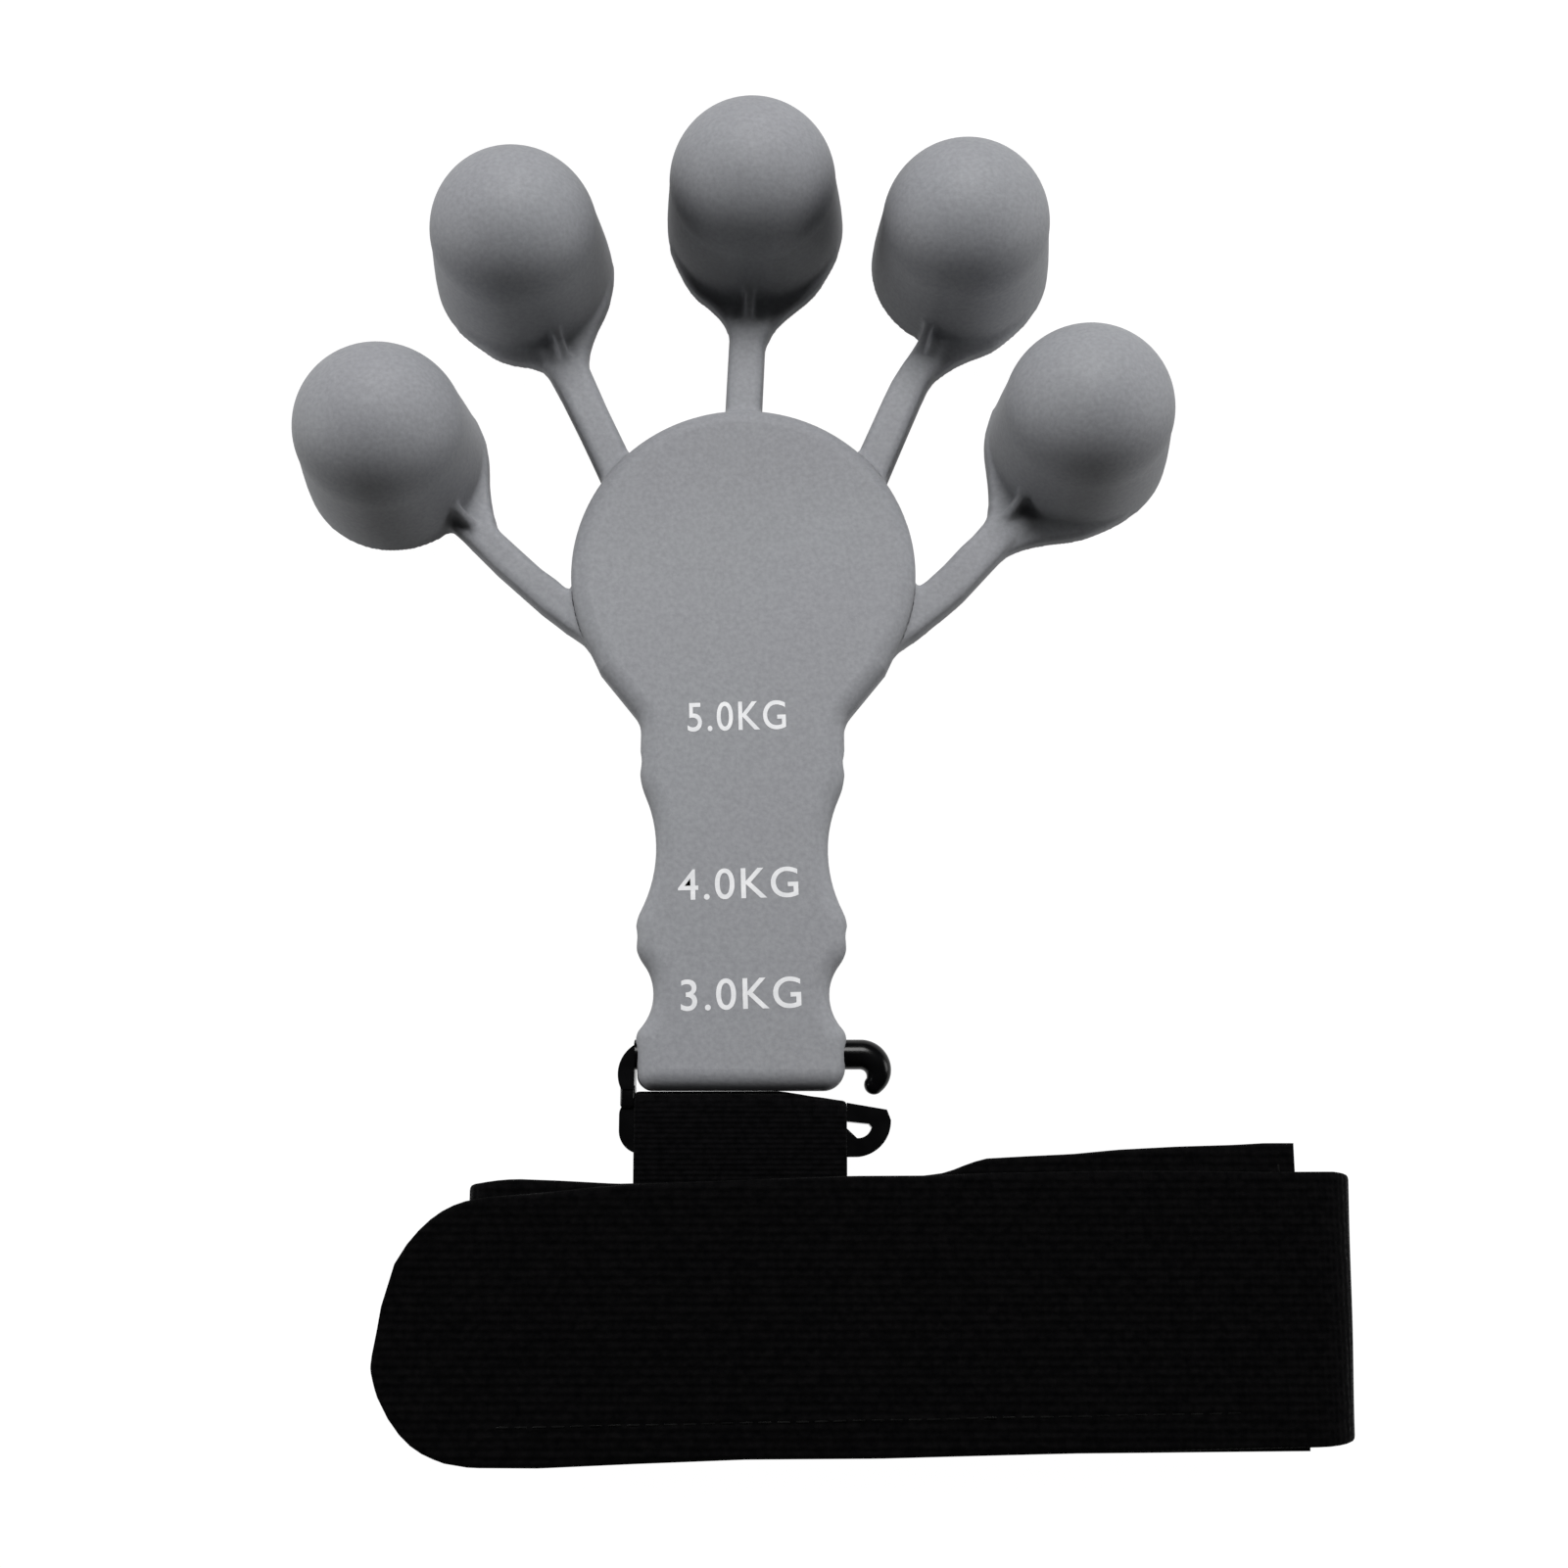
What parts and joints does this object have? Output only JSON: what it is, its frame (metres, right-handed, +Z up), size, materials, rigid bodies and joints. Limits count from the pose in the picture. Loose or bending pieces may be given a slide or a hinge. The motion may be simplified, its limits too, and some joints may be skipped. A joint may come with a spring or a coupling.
{
  "type": "finger exerciser",
  "caption": "Silicone hand exerciser with a palm disc and waisted handle, stretchy arms to domed fingertip cups, and a clasped hook-and-loop wrist strap.",
  "frame": {"origin": "centre of the palm disc's flat underside, on the surface that the object lies on", "axes": "+Y along the handle's line to the middle finger, +X to the right-hand fingers, +Z up through the cups' domes"},
  "size_m": [0.1573, 0.2067, 0.0277],
  "materials": {
    "silicone": "matte moulded silicone",
    "clasp_plastic": "glossy moulded plastic",
    "webbing": "brushed loop-faced strap fabric",
    "hook_tape": "moulded hook tape"
  },
  "bodies": {
    "palm": {"palm_body": "silicone"},
    "root_left_outer": {"arm_root_left_outer": "silicone"},
    "arm_left_outer": {"arm_left_outer": "silicone"},
    "cup_left_outer": {"cup_left_outer": "silicone"},
    "root_left_inner": {"arm_root_left_inner": "silicone"},
    "arm_left_inner": {"arm_left_inner": "silicone"},
    "cup_left_inner": {"cup_left_inner": "silicone"},
    "root_middle": {"arm_root_middle": "silicone"},
    "arm_middle": {"arm_middle": "silicone"},
    "cup_middle": {"cup_middle": "silicone"},
    "root_right_inner": {"arm_root_right_inner": "silicone"},
    "arm_right_inner": {"arm_right_inner": "silicone"},
    "cup_right_inner": {"cup_right_inner": "silicone"},
    "root_right_outer": {"arm_root_right_outer": "silicone"},
    "arm_right_outer": {"arm_right_outer": "silicone"},
    "cup_right_outer": {"cup_right_outer": "silicone"},
    "hook": {"clasp_hook": "clasp_plastic", "clasp_web": "clasp_plastic"},
    "link": {"clasp_link": "clasp_plastic", "tab_loop": "webbing"},
    "strap": {"tab_neck": "webbing", "tab_tail": "webbing", "strap_inner": "webbing", "strap_back": "webbing", "strap_fold_left": "webbing", "strap_fold_right": "webbing"},
    "flap": {"strap_flap": "webbing", "hook_tape": "hook_tape"}
  },
  "joints": [
    {"name": "splay_left_outer", "type": "hinge", "parent": "palm", "child": "root_left_outer", "pos_m": [-0.02966, -0.00338, 0.00225], "axis": [0, 0, 1], "range_deg": [-14, 25], "stiffness_Nm_per_rad": 0.006},
    {"name": "curl_left_outer", "type": "hinge", "parent": "root_left_outer", "child": "arm_left_outer", "pos_m": [-0.03482, 0.00127, 0.00225], "axis": [0.6693, 0.743, 0], "range_deg": [-40, 50], "stiffness_Nm_per_rad": 0.006},
    {"name": "stretch_left_outer", "type": "slide", "parent": "arm_left_outer", "child": "cup_left_outer", "axis": [-0.743, 0.6693, 0], "range_m": [0, 0.02], "stiffness_N_per_m": 500},
    {"name": "splay_left_inner", "type": "hinge", "parent": "palm", "child": "root_left_inner", "pos_m": [-0.02136, 0.02085, 0.00225], "axis": [0, 0, 1], "range_deg": [-14, 14], "stiffness_Nm_per_rad": 0.006},
    {"name": "curl_left_inner", "type": "hinge", "parent": "root_left_inner", "child": "arm_left_inner", "pos_m": [-0.02424, 0.02717, 0.00225], "axis": [0.9102, 0.4141, 0], "range_deg": [-40, 50], "stiffness_Nm_per_rad": 0.006},
    {"name": "stretch_left_inner", "type": "slide", "parent": "arm_left_inner", "child": "cup_left_inner", "axis": [-0.4141, 0.9102, 0], "range_m": [0, 0.02], "stiffness_N_per_m": 500},
    {"name": "splay_middle", "type": "hinge", "parent": "palm", "child": "root_middle", "pos_m": [0.0001, 0.02985, 0.00225], "axis": [0, 0, 1], "range_deg": [-8, 14], "stiffness_Nm_per_rad": 0.006},
    {"name": "curl_middle", "type": "hinge", "parent": "root_middle", "child": "arm_middle", "pos_m": [0.00039, 0.03679, 0.00225], "axis": [0.9991, -0.0413, 0], "range_deg": [-40, 50], "stiffness_Nm_per_rad": 0.006},
    {"name": "stretch_middle", "type": "slide", "parent": "arm_middle", "child": "cup_middle", "axis": [0.0413, 0.9991, 0], "range_m": [0, 0.02], "stiffness_N_per_m": 500},
    {"name": "splay_right_inner", "type": "hinge", "parent": "palm", "child": "root_right_inner", "pos_m": [0.02122, 0.021, 0.00225], "axis": [0, 0, 1], "range_deg": [-10, 8], "stiffness_Nm_per_rad": 0.006},
    {"name": "curl_right_inner", "type": "hinge", "parent": "root_right_inner", "child": "arm_right_inner", "pos_m": [0.02386, 0.02743, 0.00225], "axis": [0.9252, -0.3796, 0], "range_deg": [-40, 50], "stiffness_Nm_per_rad": 0.006},
    {"name": "stretch_right_inner", "type": "slide", "parent": "arm_right_inner", "child": "cup_right_inner", "axis": [0.3796, 0.9252, 0], "range_m": [0, 0.02], "stiffness_N_per_m": 500},
    {"name": "splay_right_outer", "type": "hinge", "parent": "palm", "child": "root_right_outer", "pos_m": [0.02963, -0.00359, 0.00225], "axis": [0, 0, 1], "range_deg": [-25, 10], "stiffness_Nm_per_rad": 0.006},
    {"name": "curl_right_outer", "type": "hinge", "parent": "root_right_outer", "child": "arm_right_outer", "pos_m": [0.03422, 0.00163, 0.00225], "axis": [0.7511, -0.6602, 0], "range_deg": [-40, 50], "stiffness_Nm_per_rad": 0.006},
    {"name": "stretch_right_outer", "type": "slide", "parent": "arm_right_outer", "child": "cup_right_outer", "axis": [0.6602, 0.7511, 0], "range_m": [0, 0.02], "stiffness_N_per_m": 500},
    {"name": "clasp_swivel", "type": "hinge", "parent": "palm", "child": "hook", "pos_m": [0, -0.0743, 0.0039], "axis": [-1, 0, 0], "range_deg": [-105, 105]},
    {"name": "clasp_open", "type": "hinge", "parent": "hook", "child": "link", "pos_m": [-0.0165, -0.0802, 0.0039], "axis": [0, 0, -1], "range_deg": [0, 60], "deforming": ["clasp_web"]},
    {"name": "strap_bend", "type": "hinge", "parent": "link", "child": "strap", "pos_m": [0, -0.091, 0.0039], "axis": [-1, 0, 0], "range_deg": [-30, 28], "deforming": ["tab_neck"]},
    {"name": "strap_peel", "type": "hinge", "parent": "strap", "child": "flap", "pos_m": [0.0844, -0.11, 0.00575], "axis": [0, 1, 0], "range_deg": [0, 175], "deforming": ["strap_fold_right"]}
  ]
}
